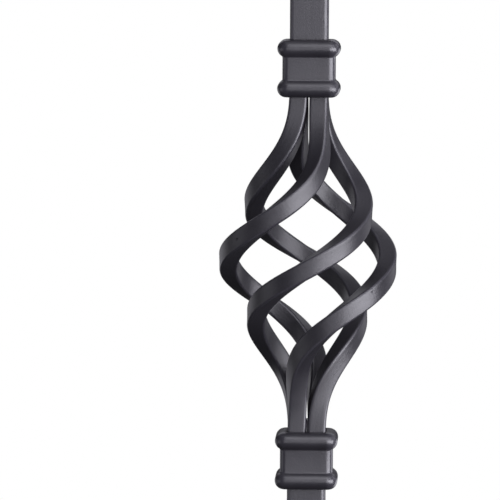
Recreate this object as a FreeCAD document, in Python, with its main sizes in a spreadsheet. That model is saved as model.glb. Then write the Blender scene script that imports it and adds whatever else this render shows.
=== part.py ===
import FreeCAD, Part
import math
import os
import Sketcher

# Iron stair baluster, 44 inches tall: two lengths of half-inch square bar, each with one full twist,
# joined by a basket of four square rods whose welds are covered by two cast knuckles.
# Millimetres. The middle of the foot's underside is the origin, +Z runs up the bar, -Y is the front.

UP = FreeCAD.Vector(0, 0, 1)
RIGHT = FreeCAD.Vector(1, 0, 0)
QUARTER = 90.0
BAR_TWIST_QUARTERS = 4
BAR_TWIST_STEPS = 12
ROD_COUNT = 4
ROD_TURN_QUARTERS = 3
ROD_STEPS = 32

DIMENSIONS = (
    ("overall_height", 1117.6, "foot to the tip of the round tenon"),
    ("bar_side", 12.7, "across the flats of the square bar"),
    ("corner_flat", 0.9, "leg of the flat on each corner of the bar"),
    ("tenon_diameter", 11.1, "round tenon that enters the handrail"),
    ("tenon_length", 21.0, "length of that tenon"),
    ("tenon_chamfer", 1.0, "lead-in at its tip"),
    ("lower_twist_height", 307.0, "foot to the start of the lower twist"),
    ("upper_twist_height", 788.0, "foot to the start of the upper twist"),
    ("twist_length", 165.0, "length of each twist"),
    ("twist_run_in", 13.0, "length in which a twist comes up to its full rate"),
    ("basket_height", 636.0, "foot to the middle of the basket"),
    ("basket_opening", 111.0, "between the two knuckles"),
    ("knuckle_drop", 1.5, "middle of that opening below the middle of the basket"),
    ("flare_length", 112.2, "length in which the rods leave the bundle and come back"),
    ("flare_power", 1.36, "fullness of the flare, higher is more pointed"),
    ("bulge_radius", 26.4, "axis to a rod's middle at the widest place"),
    ("winding_length", 128.0, "length in which the rods make their turn, straight beyond it"),
    ("winding_rate", 1.67, "the rods' winding half way up, as a multiple of its mean"),
    ("rod_side", 6.0, "across the flats of a basket rod"),
    ("rod_slit", 0.7, "slit between neighbouring rods in the bundle"),
    ("knuckle_height", 19.0, "height of a knuckle"),
    ("bead_height", 5.8, "height of each half-round bead"),
    ("bead_side", 20.8, "across a bead"),
    ("bead_corner", 3.9, "plan radius at a bead's corners"),
    ("band_side", 17.4, "across the flat band between the beads"),
    ("band_corner", 2.2, "plan radius at the band's corners"),
    ("knuckle_clearance", 0.25, "gap between a knuckle and the bar, each side"),
    ("bar_entry", 5.0, "depth to which the bar enters a knuckle"),
)

OPENING_MIDDLE = "(sizes.basket_height - sizes.knuckle_drop)"
LOWER_KNUCKLE = f"({OPENING_MIDDLE} - sizes.basket_opening / 2 - sizes.knuckle_height)"
UPPER_KNUCKLE = f"({OPENING_MIDDLE} + sizes.basket_opening / 2)"
LOWER_JOINT = f"({LOWER_KNUCKLE} + sizes.bar_entry)"
UPPER_JOINT = f"({UPPER_KNUCKLE} + sizes.knuckle_height - sizes.bar_entry)"
SHOULDER = "(sizes.overall_height - sizes.tenon_length)"
HALF_BAR = "sizes.bar_side / 2"
HALF_FLAT = "(sizes.bar_side / 2 - sizes.corner_flat)"
BORE_SIDE = "(sizes.bar_side + 2 * sizes.knuckle_clearance)"

doc = FreeCAD.newDocument("stair_baluster")
sizes = doc.addObject("Spreadsheet::Sheet", "sizes")


def fill_sheet():
    """One row for each driving dimension: its name, its value under that alias, and what it measures."""
    for row, (name, value, note) in enumerate(DIMENSIONS, start=1):
        sizes.set(f"A{row}", name)
        sizes.set(f"B{row}", str(value))
        sizes.setAlias(f"B{row}", name)
        sizes.set(f"C{row}", note)
    doc.recompute()


def value_of(expression):
    """The number that an expression on the sheet comes to now."""
    return float(sizes.evalExpression(expression.replace("sizes.", "")))


def bind(sketch, expression, kind, *where):
    """Adds one dimension to a sketch and ties it to the sheet."""
    index = sketch.addConstraint(Sketcher.Constraint(kind, *where, value_of(expression)))
    sketch.setExpression(f"Constraints[{index}]", expression)


def level_sketch(body, name, height, turn=0.0):
    """A sketch across the body's axis, at a height given as an expression and turned in degrees."""
    sketch = body.newObject("Sketcher::SketchObject", name)
    plane = next(feature for feature in body.Origin.OriginFeatures if feature.Role == "XY_Plane")
    sketch.AttachmentSupport = [(plane, "")]
    sketch.MapMode = "FlatFace"
    sketch.AttachmentOffset = FreeCAD.Placement(FreeCAD.Vector(), FreeCAD.Rotation(UP, turn))
    sketch.setExpression("AttachmentOffset.Base.z", height)
    return sketch


def bar_section(body, name, height, turn=0.0):
    """The square bar's section with a small flat on each corner."""
    sketch = level_sketch(body, name, height, turn)
    corner = [((1, HALF_BAR), (1, HALF_FLAT)), ((1, HALF_FLAT), (1, HALF_BAR))]
    outline = []
    for _ in range(4):
        outline.extend(corner)
        corner = [((-y[0], y[1]), x) for x, y in corner]
    points = [FreeCAD.Vector(*(sign * value_of(size) for sign, size in point)) for point in outline]
    count = len(points)
    for index in range(count):
        sketch.addGeometry(Part.LineSegment(points[index], points[(index + 1) % count]))
    for index, (x, y) in enumerate(outline):
        sketch.addConstraint(Sketcher.Constraint("Coincident", index, 2, (index + 1) % count, 1))
        bind(sketch, f"{x[0]} * {x[1]}", "DistanceX", -1, 1, index, 1)
        bind(sketch, f"{y[0]} * {y[1]}", "DistanceY", -1, 1, index, 1)
    return sketch


def plain_length(body, name, start, end):
    """A straight run of bar between two heights."""
    pad = body.newObject("PartDesign::Pad", name)
    pad.Profile = bar_section(body, f"{name}_section", start)
    pad.setExpression("Length", f"{end} - {start}")
    return pad


def twist_share(share, run_in):
    """Share of the turn reached at a share of the length: even, with a run-in at both ends."""
    if share > 0.5:
        return 1 - twist_share(1 - share, run_in)
    if share < run_in:
        return share ** 2 / (2 * run_in * (1 - run_in))
    return (share - run_in / 2) / (1 - run_in)


def twisted_length(body, name, start):
    """A run of bar twisted to the right by whole quarter turns, so that the flats line up again above it."""
    run_in = value_of("sizes.twist_run_in / sizes.twist_length")
    sections = []
    for step in range(BAR_TWIST_STEPS + 1):
        share = step / BAR_TWIST_STEPS
        turn = QUARTER * BAR_TWIST_QUARTERS * twist_share(share, run_in)
        height = f"{start} + {share} * sizes.twist_length"
        sections.append(bar_section(body, f"{name}_section_{step}", height, turn))
    loft = body.newObject("PartDesign::AdditiveLoft", name)
    loft.Profile = sections[0]
    loft.Sections = sections[1:]
    return loft


def new_body(label):
    body = doc.addObject("PartDesign::Body", label)
    body.Label = label
    return body


def build_lower_bar():
    """Foot, twist and the end that enters the lower knuckle."""
    body = new_body("lower_bar")
    twist_top = "(sizes.lower_twist_height + sizes.twist_length)"
    plain_length(body, "lower_foot", "0", "sizes.lower_twist_height")
    twisted_length(body, "lower_twist", "sizes.lower_twist_height")
    plain_length(body, "lower_neck", twist_top, LOWER_JOINT)
    return body


def build_upper_bar():
    """The end that enters the upper knuckle, twist, plain top and the round tenon for the handrail."""
    body = new_body("upper_bar")
    twist_top = "(sizes.upper_twist_height + sizes.twist_length)"
    plain_length(body, "upper_neck", UPPER_JOINT, "sizes.upper_twist_height")
    twisted_length(body, "upper_twist", "sizes.upper_twist_height")
    plain_length(body, "upper_shank", twist_top, SHOULDER)
    circle = level_sketch(body, "tenon_section", SHOULDER)
    radius = "sizes.tenon_diameter / 2"
    circle.addGeometry(Part.Circle(FreeCAD.Vector(), UP, value_of(radius)))
    circle.addConstraint(Sketcher.Constraint("Coincident", 0, 3, -1, 1))
    bind(circle, radius, "Radius", 0)
    tenon = body.newObject("PartDesign::Pad", "tenon")
    tenon.Profile = circle
    tenon.setExpression("Length", "sizes.tenon_length")
    doc.recompute()
    top = max(edge.BoundBox.ZMin for edge in tenon.Shape.Edges)
    rim = [f"Edge{number}" for number, edge in enumerate(tenon.Shape.Edges, start=1)
           if math.isclose(edge.BoundBox.ZMin, top, abs_tol=1e-6)]
    lead_in = body.newObject("PartDesign::Chamfer", "tenon_lead_in")
    lead_in.Base = (tenon, rim)
    lead_in.setExpression("Size", "sizes.tenon_chamfer")
    return body


def winding(height):
    """Share of the rods' turn reached at a height: none near the joints, fastest half way between them."""
    rise = 0.5 + (height - value_of(OPENING_MIDDLE)) / value_of("sizes.winding_length")
    turn = 2 * math.pi * min(max(rise, 0), 1)
    wave = value_of("sizes.winding_rate / 2")
    return (turn - wave * math.sin(turn) - (1 - wave) * math.sin(2 * turn) / 2) / (2 * math.pi)


def rod_middle(height, first_angle):
    """A rod's middle at a height, winding to the right about the axis and flaring out on the way."""
    bundle = value_of("(sizes.rod_side + sizes.rod_slit) / 2 * sqrt(2)")
    flare = 0.5 + (height - value_of("sizes.basket_height")) / value_of("sizes.flare_length")
    swell = math.sin(math.pi * min(max(flare, 0), 1)) ** (2 * value_of("sizes.flare_power"))
    radius = bundle + (value_of("sizes.bulge_radius") - bundle) * swell
    angle = math.radians(first_angle + QUARTER * ROD_TURN_QUARTERS * winding(height))
    return FreeCAD.Vector(radius * math.cos(angle), radius * math.sin(angle), height)


def rod_placement(height, first_angle):
    """Where a rod's section stands at a height and how it is turned.

    The section turns a quarter more than the rod winds: a corner points out where the rods are bundled,
    and a flat points out half way up.
    """
    nudge = 0.01
    middle = rod_middle(height, first_angle)
    along = rod_middle(height + nudge, first_angle) - rod_middle(height - nudge, first_angle)
    along.normalize()
    outward = FreeCAD.Vector(middle.x, middle.y, 0)
    outward = (outward - along * outward.dot(along)).normalize()
    corner_turn = QUARTER * (winding(height) - 0.5) + QUARTER / 2
    corner = FreeCAD.Rotation(along, corner_turn).multVec(outward)
    return FreeCAD.Placement(middle, FreeCAD.Rotation(corner, along.cross(corner), along, "ZXY"))


def build_rod(number):
    """One basket rod: its square section set along the rod's path and lofted."""
    label = f"basket_rod_{number}"
    first_angle = QUARTER * (number - 0.5)
    foot = value_of(LOWER_JOINT)
    step_height = value_of(f"{UPPER_JOINT} - {LOWER_JOINT}") / ROD_STEPS
    sections = []
    for step in range(ROD_STEPS + 1):
        section = doc.addObject("Part::RegularPolygon", f"{label}_section_{step}")
        section.Polygon = 4
        section.setExpression("Circumradius", "sizes.rod_side / sqrt(2)")
        section.Placement = rod_placement(foot + step * step_height, first_angle)
        sections.append(section)
    rod = doc.addObject("Part::Loft", label)
    rod.Label = label
    rod.Sections = sections
    rod.Solid = True
    return rod


def block(name, side, height, start):
    """A square block about the axis, its sizes and its start given as expressions."""
    box = doc.addObject("Part::Box", name)
    for size, expression in (("Length", side), ("Width", side), ("Height", height)):
        box.setExpression(size, expression)
    box.setExpression("Placement.Base.x", f"-{side} / 2")
    box.setExpression("Placement.Base.y", f"-{side} / 2")
    box.setExpression("Placement.Base.z", start)
    return box


def rounded_block(name, side, height, start, corner):
    """Such a block with its upright edges rounded."""
    box = block(f"{name}_block", side, height, start)
    doc.recompute()
    reach = value_of(corner)
    upright = [number for number, edge in enumerate(box.Shape.Edges, start=1)
               if edge.BoundBox.ZLength > edge.BoundBox.XLength + edge.BoundBox.YLength]
    rounded = doc.addObject("Part::Fillet", name)
    rounded.Base = box
    rounded.Edges = [(number, reach, reach) for number in upright]
    return rounded


def bead_bar(name, middle, turn):
    """A half-round-edged bar as wide as a bead, lying across the axis, at a height given as an expression."""
    sketch = doc.addObject("Sketcher::SketchObject", f"{name}_outline")
    upright = FreeCAD.Rotation(RIGHT, 90)
    sketch.Placement = FreeCAD.Placement(FreeCAD.Vector(), FreeCAD.Rotation(UP, turn) * upright)
    reach = "(sizes.bead_side / 2 - sizes.bead_height / 2)"
    radius = "sizes.bead_height / 2"
    for side, start_angle in ((1, -90), (-1, 90)):
        centre = FreeCAD.Vector(side * value_of(reach), value_of(middle), 0)
        circle = Part.Circle(centre, UP, value_of(radius))
        half_turn = (math.radians(start_angle), math.radians(start_angle + 180))
        sketch.addGeometry(Part.ArcOfCircle(circle, *half_turn))
    half_height = FreeCAD.Vector(0, value_of(radius), 0)
    right, left = (sketch.Geometry[index].Center for index in (0, 1))
    sketch.addGeometry(Part.LineSegment(right + half_height, left + half_height))
    sketch.addGeometry(Part.LineSegment(left - half_height, right - half_height))
    for first, first_end, second, second_end in ((0, 2, 2, 1), (2, 2, 1, 1), (1, 2, 3, 1), (3, 2, 0, 1)):
        sketch.addConstraint(Sketcher.Constraint("Tangent", first, first_end, second, second_end))
    for index, side in ((0, 1), (1, -1)):
        bind(sketch, f"{side} * {reach}", "DistanceX", -1, 1, index, 3)
    bind(sketch, middle, "DistanceY", -1, 1, 0, 3)
    bind(sketch, middle, "DistanceY", -1, 1, 1, 3)
    bind(sketch, radius, "Radius", 0)
    bar = doc.addObject("Part::Extrusion", name)
    bar.Base = sketch
    bar.DirMode = "Normal"
    bar.setExpression("LengthFwd", "sizes.bead_side")
    bar.Symmetric = True
    bar.Solid = True
    return bar


def build_knuckle(label, start):
    """A cast collar: a flat band between two half-round beads, with a square hole for bar and rods.

    Each bead is what two crossing half-round bars and an upright block with rounded corners share.
    """
    height = "sizes.knuckle_height"
    band, plan = (rounded_block(f"{label}_{part}_plan", f"sizes.{part}_side", height, start,
                                f"sizes.{part}_corner") for part in ("band", "bead"))
    parts = [band]
    half_bead = "sizes.bead_height / 2"
    for place, offset in (("foot", half_bead), ("head", f"{height} - {half_bead}")):
        middle = f"{start} + {offset}"
        bars = [bead_bar(f"{label}_{place}_bar_{turn:.0f}", middle, turn) for turn in (0, QUARTER)]
        bead = doc.addObject("Part::MultiCommon", f"{label}_{place}_bead")
        bead.Shapes = bars + [plan]
        parts.append(bead)
    blank = doc.addObject("Part::MultiFuse", f"{label}_blank")
    blank.Shapes = parts
    knuckle = doc.addObject("Part::Cut", label)
    knuckle.Label = label
    knuckle.Base = blank
    knuckle.Tool = block(f"{label}_bore", BORE_SIDE, height, start)
    knuckle.Refine = True
    return knuckle


def write_parts(parts):
    """Writes each sub-part once nothing in the document has failed."""
    doc.recompute()
    failed = [item.Name for item in doc.Objects if {"Invalid", "Error"} & set(item.State)]
    failed += [part.Label for part in parts if part.Shape.isNull() or not part.Shape.isValid()]
    if failed:
        raise RuntimeError(f"not built: {', '.join(failed)}")
    os.makedirs("parts", exist_ok=True)
    for part in parts:
        part.Shape.exportStep(os.path.join("parts", f"{part.Label}.step"))
        box = part.Shape.BoundBox
        print(f"{part.Label}: {part.Shape.Volume:.0f} mm3, "
              f"{box.XLength:.1f} x {box.YLength:.1f} x {box.ZLength:.1f} mm, {len(part.Shape.Solids)} solid")


fill_sheet()
sub_parts = [build_lower_bar(), build_upper_bar()]
sub_parts += [build_knuckle("lower_knuckle", LOWER_KNUCKLE), build_knuckle("upper_knuckle", UPPER_KNUCKLE)]
sub_parts += [build_rod(number) for number in range(1, ROD_COUNT + 1)]
write_parts(sub_parts)
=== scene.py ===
# %% [markdown]
# # An iron stair baluster, dressed for a studio picture
# The real thing is a stock stair part: two lengths of square mild steel bar, each with a twist, and between
# them a "basket" of four thin rods. Two cast collars, called knuckles, hide the welds at the basket's ends,
# and the whole piece is powder coated in satin black.
# The engineering model already has every piece at its true size, but its corners are sharp or cut flat.
# In Blender each piece is swept once more along the same line, with its corners rounded as rolling, casting
# and a layer of powder leave them, because on dark iron those corners are nearly all that catches the light.

# %% Load the engineering model as the fixed frame
import math

import bpy
from mathutils import Matrix, Vector


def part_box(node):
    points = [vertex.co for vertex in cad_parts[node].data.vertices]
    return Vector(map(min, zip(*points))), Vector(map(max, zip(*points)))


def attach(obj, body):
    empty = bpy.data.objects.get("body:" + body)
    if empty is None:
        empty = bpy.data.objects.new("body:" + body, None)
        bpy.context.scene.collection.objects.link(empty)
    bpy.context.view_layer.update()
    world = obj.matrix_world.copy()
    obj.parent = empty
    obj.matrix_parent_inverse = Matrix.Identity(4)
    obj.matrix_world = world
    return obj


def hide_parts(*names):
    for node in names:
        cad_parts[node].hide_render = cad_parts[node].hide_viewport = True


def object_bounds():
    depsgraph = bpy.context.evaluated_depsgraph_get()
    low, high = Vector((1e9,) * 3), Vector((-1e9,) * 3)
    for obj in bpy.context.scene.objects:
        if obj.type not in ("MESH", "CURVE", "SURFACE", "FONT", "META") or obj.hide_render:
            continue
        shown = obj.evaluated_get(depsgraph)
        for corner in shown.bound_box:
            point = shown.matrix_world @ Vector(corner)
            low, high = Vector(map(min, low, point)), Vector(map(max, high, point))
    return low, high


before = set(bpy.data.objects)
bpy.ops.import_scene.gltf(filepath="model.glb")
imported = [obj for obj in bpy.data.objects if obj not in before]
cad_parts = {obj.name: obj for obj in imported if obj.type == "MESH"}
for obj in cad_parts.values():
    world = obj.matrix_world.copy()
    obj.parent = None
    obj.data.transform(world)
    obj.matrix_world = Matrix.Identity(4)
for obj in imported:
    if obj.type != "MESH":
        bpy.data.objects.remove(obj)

MM = 0.001
cad_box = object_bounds()
print(f"{len(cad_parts)} pieces, {cad_box[1].z - cad_box[0].z:.4f} m tall")

# %% [markdown]
# ## Sweeping a section
# Bars, rods and collars are all one outline carried along a line, so one helper can make them all.
# A curve with a bevel object could do this too, but a curve's own twist is hard to steer. Here each ring of
# points is placed by a matrix, and the helper only sews neighbouring rings together with four-sided faces.
# The outline is a square with rounded corners. Its flats get a few extra points, because a flat that twists
# is a curved surface. A round outline is the same points pushed out on to a circle, so that it can be sewn
# to a square one.

# %% Rounded square and round outline
CORNER_STEPS = 10
FLAT_STEPS = 6
EVEN_CORNER = 0.7
QUARTER_TURN = math.pi / 2


def rounded_square(half_side, corner_radius):
    """Points of a square with rounded corners, counter-clockwise, each with its share of being a corner."""
    points = []
    centre = half_side - corner_radius
    for corner in range(4):
        turn = Matrix.Rotation(corner * QUARTER_TURN, 2)
        for step in range(CORNER_STEPS + 1):
            share = step / CORNER_STEPS
            angle = share * QUARTER_TURN
            point = Vector((centre, centre)) + corner_radius * Vector((math.cos(angle), math.sin(angle)))
            points.append((turn @ point, math.sin(math.pi * share)))
        for step in range(1, FLAT_STEPS):
            share = step / FLAT_STEPS
            points.append((turn @ Vector((centre * (1 - 2 * share), half_side)), 0.0))
    return points


def round_outline(radius):
    """As many points as the rounded square has, pushed out on to a circle, where they lie about evenly."""
    square = rounded_square(radius, EVEN_CORNER * radius)
    return [(radius * point.normalized(), 0.0) for point, _ in square]


print(f"{len(round_outline(1.0))} points in each outline")

# %% [markdown]
# ## Sewing the rings
# A piece is a list of rings, and sewing makes its faces in one go. Faces are shaded smooth, so that a rounded
# corner looks round, and edges sharper than a set angle, such as those of a sawn end, stay crisp.
# Two things are stored on every point for the paint later on: how far it is round a corner, and where it lay
# on the straight bar before any bending, so that marks from the rolling mill follow the bends.

# %% The sweep
SHARP_ANGLE = math.radians(40)


class Sweep:
    """Rings of points gathered along a line, to be sewn into one closed piece."""

    def __init__(self, name):
        self.name = name
        self.count = 0
        self.points = []
        self.corner_shares = []
        self.stock_places = []

    def ring(self, outline, place, stock_height):
        """Adds an outline, carried by a matrix; its stock height is its place along the straight bar."""
        self.count += 1
        self.points += [place @ point.to_3d() for point, _ in outline]
        self.corner_shares += [share for _, share in outline]
        self.stock_places += [Vector((point.x, point.y, stock_height)) for point, _ in outline]

    def sew(self, loop=False):
        """Makes the object; a loop joins the last ring to the first, otherwise both ends get a flat cap."""
        size = len(self.points) // self.count
        faces = []
        for ring in range(self.count if loop else self.count - 1):
            low = ring * size
            high = (ring + 1) % self.count * size
            for index in range(size):
                after = (index + 1) % size
                faces.append((low + index, low + after, high + after, high + index))
        if not loop:
            faces.append(tuple(reversed(range(size))))
            faces.append(tuple(range((self.count - 1) * size, self.count * size)))
        mesh = bpy.data.meshes.new(self.name)
        mesh.from_pydata(self.points, [], faces)
        mesh.polygons.foreach_set("use_smooth", [True] * len(mesh.polygons))
        mesh.set_sharp_from_angle(angle=SHARP_ANGLE)
        corner = mesh.attributes.new("corner_share", "FLOAT", "POINT")
        corner.data.foreach_set("value", self.corner_shares)
        stock = mesh.attributes.new("stock_place", "FLOAT_VECTOR", "POINT")
        stock.data.foreach_set("vector", [part for place in self.stock_places for part in place])
        piece = bpy.data.objects.new(self.name, mesh)
        bpy.context.scene.collection.objects.link(piece)
        print(f"{self.name}: {len(mesh.vertices)} points, {len(mesh.polygons)} faces")
        return piece


print(f"edges sharper than {math.degrees(SHARP_ANGLE):.0f} degrees stay crisp")

# %% [markdown]
# ## The two lengths of bar
# Half-inch square bar is rolled, so its corners are not sharp: a radius of one or two millimetres is usual.
# Each length has one full right-handed twist, made cold by holding the bar in a vice and turning the other
# end. The turn comes up to speed over a short run at both ends. The Simple Deform modifier could twist
# a straight bar, but it can't give that run-in, so each ring's turn is worked out instead.
# The upper length ends in a shoulder and a round tenon that goes into a hole in the handrail.

# %% Square bar and its twist
BAR_SIDE = 12.7 * MM
BAR_CORNER = 1.5 * MM
TWIST_LENGTH = 165.0 * MM
TWIST_RUN_IN = 13.0 * MM
TWIST_STEPS = 165


def level(height, turn=0.0):
    """The matrix that lifts a flat outline to a height and turns it about the bar."""
    return Matrix.Translation((0, 0, height)) @ Matrix.Rotation(turn, 4, "Z")


def square_ring(bar, height, turn=0.0, inset=0.0):
    """Adds a ring of square bar at a height, turned, or smaller all round by an inset."""
    bar.ring(rounded_square(BAR_SIDE / 2 - inset, BAR_CORNER - inset), level(height, turn), height)


def twist_share(share, run_in):
    """Share of the turn reached at a share of the length: even, with a run-in at both ends."""
    if share > 0.5:
        return 1 - twist_share(1 - share, run_in)
    if share < run_in:
        return share ** 2 / (2 * run_in * (1 - run_in))
    return (share - run_in / 2) / (1 - run_in)


def twist_rings(bar, start):
    """Adds the rings of one full twist that starts at a height."""
    for step in range(TWIST_STEPS + 1):
        share = step / TWIST_STEPS
        turn = 2 * math.pi * twist_share(share, TWIST_RUN_IN / TWIST_LENGTH)
        square_ring(bar, start + share * TWIST_LENGTH, turn)


print(f"{360 * MM / TWIST_LENGTH:.1f} degrees of twist to a millimetre")

# %% Lower bar
LOWER_TWIST_START = 307.0 * MM
END_BREAK = 0.5 * MM
BAR_ENTRY = 5.0 * MM

foot = cad_box[0].z
lower_knuckle_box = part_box("lower_knuckle")
lower_joint = lower_knuckle_box[0].z + BAR_ENTRY


def make_lower_bar():
    """Foot with its edge broken, twist, and the end that is hidden in the lower knuckle."""
    bar = Sweep("square_bar_lower")
    square_ring(bar, foot, inset=END_BREAK)
    square_ring(bar, foot + END_BREAK)
    twist_rings(bar, LOWER_TWIST_START)
    square_ring(bar, lower_joint)
    return bar.sew()


lower_bar = make_lower_bar()

# %% Upper bar
UPPER_TWIST_START = 788.0 * MM
TENON_RADIUS = 11.1 / 2 * MM
TENON_LENGTH = 21.0 * MM
TENON_LEAD_IN = 1.0 * MM

tip = cad_box[1].z
shoulder = tip - TENON_LENGTH
upper_knuckle_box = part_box("upper_knuckle")
upper_joint = upper_knuckle_box[1].z - BAR_ENTRY


def make_upper_bar():
    """The end that is hidden in the upper knuckle, twist, shoulder and tenon."""
    bar = Sweep("square_bar_upper")
    square_ring(bar, upper_joint)
    twist_rings(bar, UPPER_TWIST_START)
    square_ring(bar, shoulder - END_BREAK)
    square_ring(bar, shoulder, inset=END_BREAK)
    tenon = ((shoulder, TENON_RADIUS),
             (tip - TENON_LEAD_IN, TENON_RADIUS),
             (tip, TENON_RADIUS - TENON_LEAD_IN))
    for height, radius in tenon:
        bar.ring(round_outline(radius), level(height), height)
    return bar.sew()


upper_bar = make_upper_bar()

# %% [markdown]
# ## The four basket rods
# A smith makes a basket by welding four thin square rods together at both ends, twisting the bundle, then
# turning it back a little while pushing the ends together, so that the rods belly out.
# Each rod's line is a helix whose radius swells and shrinks. The rods lie a slit apart in the bundle, run
# straight near the knuckles and wind fastest half way between them. A rod that shows a corner outward in the
# bundle shows a flat outward half way up. A curve could carry the line but not that steady roll of the
# section, so each ring gets a matrix of its own, made from the rod's middle, the way it runs and the way
# it faces.

# %% The line of a rod
ROD_SIDE = 6.0 * MM
ROD_SLIT = 0.7 * MM
ROD_TURN = 3 * QUARTER_TURN
KNUCKLE_DROP = 1.5 * MM
BULGE_RADIUS = 26.4 * MM
FLARE_LENGTH = 112.2 * MM
# A power of 1 would give an even wave, and more keeps the rods longer in the bundle.
FLARE_POWER = 1.36
WINDING_LENGTH = 128.0 * MM
# Half way up, the rods wind this many times as fast as if they wound evenly over that length.
WINDING_RATE = 1.67
BUNDLE_RADIUS = (ROD_SIDE + ROD_SLIT) / math.sqrt(2)

opening_middle = (lower_knuckle_box[1].z + upper_knuckle_box[0].z) / 2
basket_middle = opening_middle + KNUCKLE_DROP


def clamp(share):
    """A share held between none and all."""
    return min(max(share, 0.0), 1.0)


def winding(height):
    """Share of the rods' turn reached at a height: none near the joints, fastest half way between them."""
    turn = 2 * math.pi * clamp(0.5 + (height - opening_middle) / WINDING_LENGTH)
    wave = WINDING_RATE / 2
    return (turn - wave * math.sin(turn) - (1 - wave) * math.sin(2 * turn) / 2) / (2 * math.pi)


def rod_middle(height, first_angle):
    """The middle of a rod's section at a height."""
    swell = math.sin(math.pi * clamp(0.5 + (height - basket_middle) / FLARE_LENGTH)) ** (2 * FLARE_POWER)
    radius = BUNDLE_RADIUS + (BULGE_RADIUS - BUNDLE_RADIUS) * swell
    angle = first_angle + ROD_TURN * winding(height)
    return Vector((radius * math.cos(angle), radius * math.sin(angle), height))


print(f"the basket is widest at {basket_middle:.4f} m")

# %% Basket rods
ROD_COUNT = 4
ROD_CORNER = 0.85 * MM
ROD_STEPS = 280
STOCK_STEP = 0.2
NUDGE = 0.01 * MM


def rod_place(height, first_angle):
    """The matrix that carries the rod's outline to a height, square to the way the rod runs."""
    middle = rod_middle(height, first_angle)
    along = (rod_middle(height + NUDGE, first_angle) - rod_middle(height - NUDGE, first_angle)).normalized()
    outward = Vector((middle.x, middle.y, 0))
    outward = (outward - along * outward.dot(along)).normalized()
    facing = Matrix.Rotation(QUARTER_TURN * (winding(height) - 0.5), 3, along) @ outward
    place = Matrix((facing, along.cross(facing), along)).transposed().to_4x4()
    place.translation = middle
    return place


def make_rod(number):
    """One rod from joint to joint; each rod is cut from its own stretch of straight stock."""
    rod = Sweep(f"basket_rod_finished_{number}")
    outline = rounded_square(ROD_SIDE / 2, ROD_CORNER)
    for step in range(ROD_STEPS + 1):
        rise = step / ROD_STEPS * (upper_joint - lower_joint)
        place = rod_place(lower_joint + rise, QUARTER_TURN * (number - 0.5))
        rod.ring(outline, place, STOCK_STEP * number + rise)
    return rod.sew()


rods = [make_rod(number) for number in range(1, ROD_COUNT + 1)]

# %% [markdown]
# ## A run of weld
# The rods are welded to each other and to the bar inside the lower knuckle. At the front a little weld has
# run up the slit between two rods and stands there as a drop. Light shows through the slit above it, and
# below it the slit is dark. A cylinder and a ball would do, but one sweep of round rings makes a single
# closed piece, and it leans with the slit as the rods begin to wind.

# %% Weld run
WELD_DEPTH = 5.3 * MM
WELD_RADIUS = 0.38 * MM
DROP_RADIUS = 0.52 * MM
DROP_HEIGHT = 4.1 * MM
DROP_STEPS = 10


def make_weld_run():
    """A thin run from the knuckle's mouth up the front slit, with a ball at its upper end."""
    run = Sweep("weld_run")
    start = math.asin(WELD_RADIUS / DROP_RADIUS)
    rings = [(0.0, WELD_RADIUS)]
    for step in range(DROP_STEPS):
        angle = start + (math.pi - start) * step / DROP_STEPS
        rings.append((DROP_HEIGHT - DROP_RADIUS * math.cos(angle), DROP_RADIUS * math.sin(angle)))
    for rise, radius in rings:
        height = lower_knuckle_box[1].z + rise
        slit = level(height, ROD_TURN * winding(height)) @ Matrix.Translation((0, -WELD_DEPTH, 0))
        run.ring(round_outline(radius), slit, rise)
    return run.sew()


weld_run = make_weld_run()

# %% [markdown]
# ## The two cast knuckles
# Each knuckle is a cast collar: a flat band between two half-round beads, square in plan with rounded
# corners. It slides over the bundle before welding and is then fixed over the weld.
# Its wall is drawn as a profile from the bore outwards and round, and the profile is carried round the
# square. A Bevel modifier on a box would be quicker, but here the small fillet where bead and band meet,
# which every casting has, can be drawn in the profile.

# %% Wall of a knuckle
BEAD_RADIUS = 2.9 * MM
BAND_SIDE = 17.4 * MM
BORE_CLEARANCE = 0.25 * MM
CASTING_FILLET = 0.7 * MM
BEAD_STEPS = 14
FILLET_STEPS = 5


def half_profile(half_bead):
    """(half side, height) pairs from the bore over the lower bead and up to the foot of the band."""
    half_band = BAND_SIDE / 2
    bead_centre = half_bead - BEAD_RADIUS
    bow = BEAD_RADIUS + CASTING_FILLET
    meet = math.acos((half_band + CASTING_FILLET - bead_centre) / bow)
    pairs = [(BAR_SIDE / 2 + BORE_CLEARANCE, 0.0)]
    for step in range(BEAD_STEPS + 1):
        angle = -QUARTER_TURN + (meet + QUARTER_TURN) * step / BEAD_STEPS
        pairs.append((bead_centre + BEAD_RADIUS * math.cos(angle), BEAD_RADIUS * (1 + math.sin(angle))))
    for step in range(1, FILLET_STEPS + 1):
        angle = math.pi + meet * (1 - step / FILLET_STEPS)
        pairs.append((half_band + CASTING_FILLET * (1 + math.cos(angle)),
                      BEAD_RADIUS + bow * math.sin(meet) + CASTING_FILLET * math.sin(angle)))
    return pairs


print(f"{len(half_profile(lower_knuckle_box[1].x))} rings from the bore to the band")

# %% Knuckles
BEAD_CORNER = 3.9 * MM
BORE_CORNER = 0.2 * MM


def make_knuckle(name, box):
    """Carries the wall round the square, with the same corner centres for beads and band."""
    low, high = box
    lower_half = half_profile(high.x)
    upper_half = [(half, high.z - low.z - height) for half, height in reversed(lower_half)]
    corner_centre = high.x - BEAD_CORNER
    knuckle = Sweep(name)
    for half, height in lower_half + upper_half:
        outline = rounded_square(half, max(half - corner_centre, BORE_CORNER))
        knuckle.ring(outline, level(low.z + height), low.z + height)
    return knuckle.sew(loop=True)


lower_knuckle = make_knuckle("cast_knuckle_lower", lower_knuckle_box)
upper_knuckle = make_knuckle("cast_knuckle_upper", upper_knuckle_box)

# %% [markdown]
# ## Each piece takes the place of its engineering solid
# Nothing on a baluster moves, so every piece rides on the one body, and each one hides the plain solid that
# it was swept over.

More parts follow.
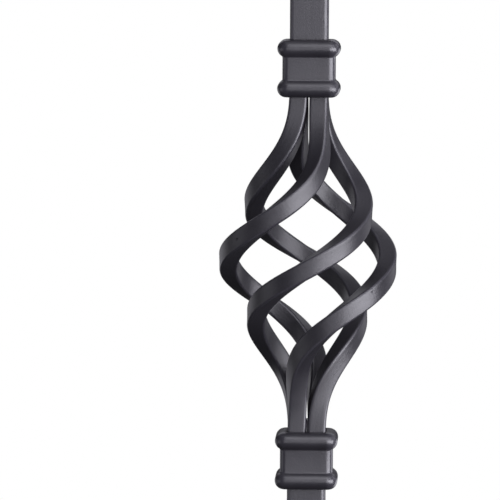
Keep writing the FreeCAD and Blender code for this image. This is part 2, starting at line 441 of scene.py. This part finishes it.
# %% Ride and replace
dressed = {"lower_bar": lower_bar, "upper_bar": upper_bar,
           "lower_knuckle": lower_knuckle, "upper_knuckle": upper_knuckle}
dressed.update({f"basket_rod_{number}": rod for number, rod in enumerate(rods, start=1)})
castings = [lower_knuckle, upper_knuckle]
for node, piece in dressed.items():
    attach(piece, "root")
    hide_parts(node)
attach(weld_run, "root")
print(f"{len(dressed) + 1} pieces ride on the baluster")

# %% [markdown]
# ## Powder coat
# Polyester powder is sprayed on dry, clings by static charge and melts in an oven into one even satin skin.
# Three things about it reach the eye. It settles with a faint ripple, called orange peel, about half
# a millimetre wide. What lies under it prints through: lengthwise streaks on rolled bar, the slow unevenness
# of a sand mould on a casting. And it draws back a little from corners, which end up thinner and smoother.
# Their colour is painted a shade lighter, partly for the thinner coat and partly as a painted highlight
# for the bright lines that rounded edges reflect. In two places a bubble has burst while the powder melted
# and has left a pinhole.
# The eye meets this plastic skin and not the metal, so the shader is no metal and has polyester's IOR.
# An image texture could hold all that, but noise read in real millimetres needs no unwrapping. Because the
# noise is read where each point lay on the straight bar, the streaks follow every twist and bend.


# %% Colour and node helpers
def linear(hex_colour):
    """A linear RGBA colour from an sRGB hex value, by the two-part curve of the sRGB standard."""
    channels = [int(hex_colour[start:start + 2], 16) / 255 for start in (1, 3, 5)]
    return [c / 12.92 if c <= 0.04045 else ((c + 0.055) / 1.055) ** 2.4 for c in channels] + [1.0]


def add_node(tree, kind, inputs=None, **settings):
    """Adds a node, gives it its settings, and sets or links its inputs."""
    node = tree.nodes.new(kind)
    for name, value in settings.items():
        setattr(node, name, value)
    for socket, value in (inputs or {}).items():
        if isinstance(value, bpy.types.NodeSocket):
            tree.links.new(value, node.inputs[socket])
        else:
            node.inputs[socket].default_value = value
    return node


print(f"the sRGB grey #808080 is {linear('#808080')[0]:.3f} in linear light")

# %% Pinholes in the coat
PINHOLE_RADIUS = 0.42 * MM
ROD_FACE = ROD_SIDE / 2


def on_rod(number, rise, out, across):
    """A place on a rod's straight stock, with the middle of its section as zero."""
    return (out, across, STOCK_STEP * number + rise)


def pinhole_depth(tree, place, pinholes):
    """How deep a point lies in the nearest pinhole: 1 at its middle, 0 outside."""
    depth = 0.0
    for pinhole in pinholes:
        reach = add_node(tree, "ShaderNodeVectorMath", {0: place, 1: pinhole}, operation="DISTANCE")
        hollow = add_node(tree, "ShaderNodeMapRange",
                          {"Value": reach.outputs["Value"], "From Max": PINHOLE_RADIUS, "To Min": 1.0,
                           "To Max": 0.0}, interpolation_type="SMOOTHSTEP")
        deeper = add_node(tree, "ShaderNodeMath", {0: depth, 1: hollow.outputs["Result"]},
                          operation="MAXIMUM")
        depth = deeper.outputs["Value"]
    return depth


rod_pinholes = (on_rod(3, rise=60.4 * MM, out=ROD_FACE, across=-1.4 * MM),
                on_rod(1, rise=78.9 * MM, out=ROD_FACE, across=0.0))
print(f"{len(rod_pinholes)} pinholes, {2 * PINHOLE_RADIUS / MM:.2f} mm across")

# %% Colour of the coat
COAT_DARK = linear("#19181c")
COAT_LIGHT = linear("#222125")
# The corner colour is partly the thinner coat and partly a painted highlight on the edges.
COAT_CORNER_THIN_AND_HIGHLIGHT = linear("#333237")
CORNER_THINNING_AND_HIGHLIGHT = 0.6
# A Mix node has several sockets of each name, for numbers, vectors and colours, so these go by number.
FACTOR, FIRST_COLOUR, SECOND_COLOUR, MIXED_COLOUR = 0, 6, 7, 2


def coat_colour(tree, printed, corner):
    """Black that follows the metal's print, lighter on corners: thinner coat and a painted highlight."""
    tone = add_node(tree, "ShaderNodeMix", {FACTOR: printed, FIRST_COLOUR: COAT_DARK,
                                            SECOND_COLOUR: COAT_LIGHT}, data_type="RGBA")
    # Corners are painted lighter: the thinner coat there, and a painted highlight in place of edge
    # reflections.
    thin = add_node(tree, "ShaderNodeMath", {0: corner, 1: CORNER_THINNING_AND_HIGHLIGHT}, operation="MULTIPLY")
    colour = add_node(tree, "ShaderNodeMix",
                      {FACTOR: thin.outputs["Value"], FIRST_COLOUR: tone.outputs[MIXED_COLOUR],
                       SECOND_COLOUR: COAT_CORNER_THIN_AND_HIGHLIGHT}, data_type="RGBA")
    return colour.outputs[MIXED_COLOUR]


print(f"flats of the coat scatter {COAT_DARK[1]:.1%} to {COAT_LIGHT[1]:.1%} of green light")

# %% Gloss of the coat
CLOUD_WIDTH = 9.0 * MM
CLOUD_DETAIL = 2.0
CLOUD_LOW = 0.3
CLOUD_HIGH = 0.7
CLOUD_SPREAD = 0.05
CORNER_POLISH = 0.08


def coat_roughness(tree, place, corner, roughness):
    """Roughness that drifts in slow clouds, and is less on corners, where the coat is smoother."""
    cloud = add_node(tree, "ShaderNodeTexNoise",
                     {"Vector": place, "Scale": 1 / CLOUD_WIDTH, "Detail": CLOUD_DETAIL})
    satin = add_node(tree, "ShaderNodeMapRange",
                     {"Value": cloud.outputs["Fac"], "From Min": CLOUD_LOW, "From Max": CLOUD_HIGH,
                      "To Min": roughness - CLOUD_SPREAD, "To Max": roughness + CLOUD_SPREAD})
    rough = add_node(tree, "ShaderNodeMath", {0: corner, 1: -CORNER_POLISH, 2: satin.outputs["Result"]},
                     operation="MULTIPLY_ADD")
    return rough.outputs["Value"]


print(f"roughness drifts by {CLOUD_SPREAD} either way in clouds {CLOUD_WIDTH / MM:.0f} mm wide")

# %% Relief of the coat
PEEL_WIDTH = 0.6 * MM
PEEL_HEIGHT = 0.03 * MM
PEEL_DETAIL = 1.0
PINHOLE_DEPTH = 0.12 * MM


def coat_relief(tree, place, printed, print_height, pinholes):
    """The print of the metal below, orange peel over it, and pinholes in both."""
    peel = add_node(tree, "ShaderNodeTexNoise",
                    {"Vector": place, "Scale": 1 / PEEL_WIDTH, "Detail": PEEL_DETAIL})
    under = add_node(tree, "ShaderNodeBump", {"Height": printed, "Distance": print_height})
    skin = add_node(tree, "ShaderNodeBump", {"Height": peel.outputs["Fac"], "Distance": PEEL_HEIGHT,
                                             "Normal": under.outputs["Normal"]})
    pitted = add_node(tree, "ShaderNodeBump", {"Height": pinhole_depth(tree, place, pinholes),
                                               "Distance": PINHOLE_DEPTH, "Normal": skin.outputs["Normal"]},
                      invert=True)
    return pitted.outputs["Normal"]


print(f"orange peel {PEEL_WIDTH / MM:.1f} mm wide and {PEEL_HEIGHT / MM:.2f} mm high")

# %% Satin black powder coat
COAT_IOR = 1.5
PRINT_DETAIL = 3.0


def powder_coat(name, print_width, print_stretch, print_height, roughness, pinholes=()):
    """Satin powder coat; the print is the pattern of the metal that shows through, stretched lengthwise."""
    coat = bpy.data.materials.new(name)
    coat.use_nodes = True
    tree = coat.node_tree
    place = add_node(tree, "ShaderNodeAttribute", attribute_name="stock_place").outputs["Vector"]
    corner = add_node(tree, "ShaderNodeAttribute", attribute_name="corner_share").outputs["Fac"]
    drawn = add_node(tree, "ShaderNodeMapping", {"Vector": place, "Scale": (1, 1, 1 / print_stretch)})
    metal = add_node(tree, "ShaderNodeTexNoise",
                     {"Vector": drawn.outputs["Vector"], "Scale": 1 / print_width, "Detail": PRINT_DETAIL})
    printed = metal.outputs["Fac"]
    shader = tree.nodes["Principled BSDF"]
    shader.inputs["IOR"].default_value = COAT_IOR
    tree.links.new(coat_colour(tree, printed, corner), shader.inputs["Base Color"])
    tree.links.new(coat_roughness(tree, place, corner, roughness), shader.inputs["Roughness"])
    tree.links.new(coat_relief(tree, place, printed, print_height, pinholes), shader.inputs["Normal"])
    print(f"{name}: {len(tree.nodes)} nodes, {len(pinholes)} pinholes")
    return coat


# %% Coat the pieces
# Rolled mild steel under powder: satin black, with faint streaks that run lengthwise round every bend.
coated_steel = powder_coat("powder_coated_mild_steel", print_width=1.5 * MM, print_stretch=40,
                           print_height=0.05 * MM, roughness=0.41, pinholes=rod_pinholes)
# Sand-cast iron under the same powder: a little glossier, and softly uneven like the mould it came from.
coated_casting = powder_coat("powder_coated_cast_iron", print_width=6.0 * MM, print_stretch=1,
                             print_height=0.07 * MM, roughness=0.37)
for piece in dressed.values():
    piece.data.materials.append(coated_casting if piece in castings else coated_steel)
weld_run.data.materials.append(coated_steel)

# %% [markdown]
# ## Stage
# The baluster stands on a disc of matte seamless paper. A plain floor would show a hard horizon, so the
# paper fades out towards its rim, by the distance from its middle, into the white round about.
# The iron is lit as if it stood far from any floor: the paper is kept out of its reflections and does not
# block the low lights.

# %% Paper floor
FLOOR_RADIUS = 2.6
FLOOR_POINTS = 128
FADE_START = 0.5
PAPER = linear("#f2f2f0")
PAPER_ROUGHNESS = 0.9


def make_floor():
    """A disc of uncoated paper: a broad, even white without gloss, that fades out at its rim."""
    bpy.ops.mesh.primitive_circle_add(vertices=FLOOR_POINTS, radius=FLOOR_RADIUS, fill_type="NGON")
    disc = bpy.context.object
    disc.name = "studio_floor"
    paper = bpy.data.materials.new("matte_seamless_paper")
    paper.use_nodes = True
    tree = paper.node_tree
    shader = tree.nodes["Principled BSDF"]
    shader.inputs["Base Color"].default_value = PAPER
    shader.inputs["Roughness"].default_value = PAPER_ROUGHNESS
    place = add_node(tree, "ShaderNodeTexCoord").outputs["Object"]
    reach = add_node(tree, "ShaderNodeVectorMath", {0: place}, operation="LENGTH")
    fade = add_node(tree, "ShaderNodeMapRange", {"Value": reach.outputs["Value"], "From Min": FADE_START,
                                                 "From Max": FLOOR_RADIUS, "To Min": 1.0, "To Max": 0.0},
                    interpolation_type="SMOOTHSTEP")
    tree.links.new(fade.outputs["Result"], shader.inputs["Alpha"])
    disc.data.materials.append(paper)
    return disc


floor = make_floor()
floor.visible_glossy = False
floor.visible_diffuse = False
floor.visible_shadow = False
print(f"paper floor {2 * FLOOR_RADIUS} m across")

# %% [markdown]
# ## Light
# Dark satin iron shows lights more than it shows its own colour, so the lights are large soft boxes, and each
# is placed for what it does to the iron. Two boxes stand near on the right, level with the basket, and their
# reflection slides along each rod as the rod turns. A box beside the camera lifts the flats that face it,
# boxes above light the upper halves of the beads, and weak ones at the sides and behind draw thin rims.
# One overhead light could do iron and paper together, but what suits black iron burns out white paper.
# A studio screens a light with flags. Here Blender's light linking does that: the boxes are kept off the
# paper, which has a light of its own. Two low boxes reach only the bars, and the one at the back also the
# knuckles, to show them from the sides and from behind.
# The background is plain white where the camera looks straight at it, and dim as a light.

# %% White background
BACKGROUND_LIGHT = 0.05
NORTH_LIGHT = (0.985, 0.97, 1.06)


def make_world():
    """White to the camera, dim and a little cool to everything else."""
    world = bpy.data.worlds.new("white_studio")
    bpy.context.scene.world = world
    world.use_nodes = True
    tree = world.node_tree
    dim = tree.nodes["Background"]
    dim.inputs["Color"].default_value = (*NORTH_LIGHT, 1)
    dim.inputs["Strength"].default_value = BACKGROUND_LIGHT
    white = add_node(tree, "ShaderNodeBackground", {"Color": (1, 1, 1, 1), "Strength": 1.0})
    path = add_node(tree, "ShaderNodeLightPath")
    seen = add_node(tree, "ShaderNodeMixShader",
                    {0: path.outputs["Is Camera Ray"], 1: dim.outputs["Background"],
                     2: white.outputs["Background"]})
    tree.links.new(seen.outputs["Shader"], tree.nodes["World Output"].inputs["Surface"])


make_world()
bpy.context.scene.view_settings.view_transform = "Standard"
print(f"white background, with a strength of {BACKGROUND_LIGHT} as a light")

# %% Soft box and flag
FAR_STAND = 2.2
NEAR_STAND = 1.05
basket = Vector((0, 0, basket_middle))


def direction(azimuth, elevation):
    """The way from the basket towards an azimuth, from the front to the right, and a height, in degrees."""
    turn = math.radians(azimuth)
    lift = math.radians(elevation)
    return Vector((math.sin(turn) * math.cos(lift), -math.cos(turn) * math.cos(lift), math.sin(lift)))


def soft_box(name, azimuth, elevation, width, height, radiance, stand=FAR_STAND):
    """A soft box that faces the basket, as bright per area whatever its size."""
    box = bpy.data.lights.new(name, "AREA")
    box.shape = "RECTANGLE"
    box.size = width
    box.size_y = height
    box.energy = math.pi * width * height * radiance
    box.color = NORTH_LIGHT
    lamp = bpy.data.objects.new(name, box)
    bpy.context.scene.collection.objects.link(lamp)
    toward = direction(azimuth, elevation)
    lamp.location = basket + stand * toward
    lamp.rotation_euler = toward.to_track_quat("Z", "Y").to_euler()
    lamp.visible_camera = False
    return lamp


def flag_light(lamp, pieces, state):
    """Lets a lamp light only these pieces, or all but these, as flags do in a studio."""
    flag = bpy.data.collections.new(f"{lamp.name}_flag")
    for piece in pieces:
        flag.objects.link(piece)
    for flagged in flag.collection_objects:
        flagged.light_linking.link_state = state
    lamp.light_linking.receiver_collection = flag


print(f"boxes for the iron stand {NEAR_STAND} or {FAR_STAND} m from the basket")

# %% Boxes for the iron
iron_boxes = (
    soft_box("key_box", azimuth=32, elevation=1, width=0.64, height=0.62, radiance=9.4, stand=NEAR_STAND),
    soft_box("key_side", azimuth=64, elevation=-4, width=0.6, height=0.66, radiance=9.2, stand=NEAR_STAND),
    soft_box("key_top", azimuth=45, elevation=36, width=1.6, height=1.2, radiance=2.8),
    soft_box("camera_fill", azimuth=-9, elevation=2, width=0.9, height=1.2, radiance=2.4),
    soft_box("top_front", azimuth=4, elevation=44, width=1.3, height=1.6, radiance=3.7),
    soft_box("overhead", azimuth=0, elevation=88, width=1.8, height=1.8, radiance=0.6),
    soft_box("left_rim", azimuth=-80, elevation=-8, width=1.4, height=1.0, radiance=1.0),
    soft_box("right_rim", azimuth=108, elevation=28, width=1.3, height=1.2, radiance=1.0),
    soft_box("back_left", azimuth=-138, elevation=-12, width=1.7, height=1.1, radiance=0.8),
    soft_box("back_right", azimuth=136, elevation=-12, width=1.6, height=1.1, radiance=0.7),
    soft_box("back_wall", azimuth=180, elevation=30, width=3.0, height=1.1, radiance=0.8),
)
for box in iron_boxes:
    flag_light(box, [floor], "EXCLUDE")
bar_left = soft_box("bar_left", azimuth=-45, elevation=-20, width=1.2, height=1.6, radiance=1.4)
flag_light(bar_left, [lower_bar, upper_bar], "INCLUDE")
bar_back = soft_box("bar_back", azimuth=135, elevation=-20, width=1.2, height=1.6, radiance=2.0)
flag_light(bar_back, [lower_bar, upper_bar, *castings], "INCLUDE")
print(f"{len(iron_boxes)} boxes, {bar_left.name} and {bar_back.name} face a basket at {basket_middle:.3f} m")

# %% Light for the paper
PAPER_STAND = 4.0

paper_light = soft_box("paper_light", azimuth=0, elevation=90, width=7.0, height=7.0, radiance=1.6,
                       stand=PAPER_STAND)
flag_light(paper_light, [floor], "INCLUDE")
print(f"{paper_light.name}: {paper_light.data.energy:.0f} W")

# %% [markdown]
# ## Camera
# The picture is a close view of the basket from a little above and a hair to the right, with the top of the
# piece leaning a third of a degree to the right. A long lens keeps the twists of the rods free of distortion.
# The camera is aimed so that the middle of the basket falls on its place in the picture.

# %% Camera
IMAGE_SIZE = 500
SENSOR_WIDTH = 36.0
CAMERA_AZIMUTH = 1.3
CAMERA_ELEVATION = 4.4
CAMERA_ROLL = math.radians(0.34)
CAMERA_DISTANCE = 1.5
FRAME_WIDTH = 166.0 * MM
BASKET_PIXEL = Vector((307.9, 259.3))


def make_camera():
    """Aims at the place that puts the middle of the basket on its pixel, then rolls the camera."""
    data = bpy.data.cameras.new("studio_camera")
    data.sensor_width = SENSOR_WIDTH
    data.lens = SENSOR_WIDTH * CAMERA_DISTANCE / FRAME_WIDTH
    toward = direction(CAMERA_AZIMUTH, CAMERA_ELEVATION)
    eye = basket + CAMERA_DISTANCE * toward
    roll = Matrix.Rotation(CAMERA_ROLL, 3, "Z")
    upright = toward.to_track_quat("Z", "Y").to_matrix()
    offset = (Vector((IMAGE_SIZE / 2, IMAGE_SIZE / 2)) - BASKET_PIXEL) * FRAME_WIDTH / IMAGE_SIZE
    aim = basket + upright @ roll @ Vector((offset.x, -offset.y, 0))
    view = (eye - aim).to_track_quat("Z", "Y").to_matrix() @ roll
    camera = bpy.data.objects.new("studio_camera", data)
    bpy.context.scene.collection.objects.link(camera)
    camera.matrix_world = Matrix.Translation(eye) @ view.to_4x4()
    bpy.context.scene.camera = camera
    print(f"lens {data.lens:.0f} mm at {CAMERA_DISTANCE} m")


make_camera()
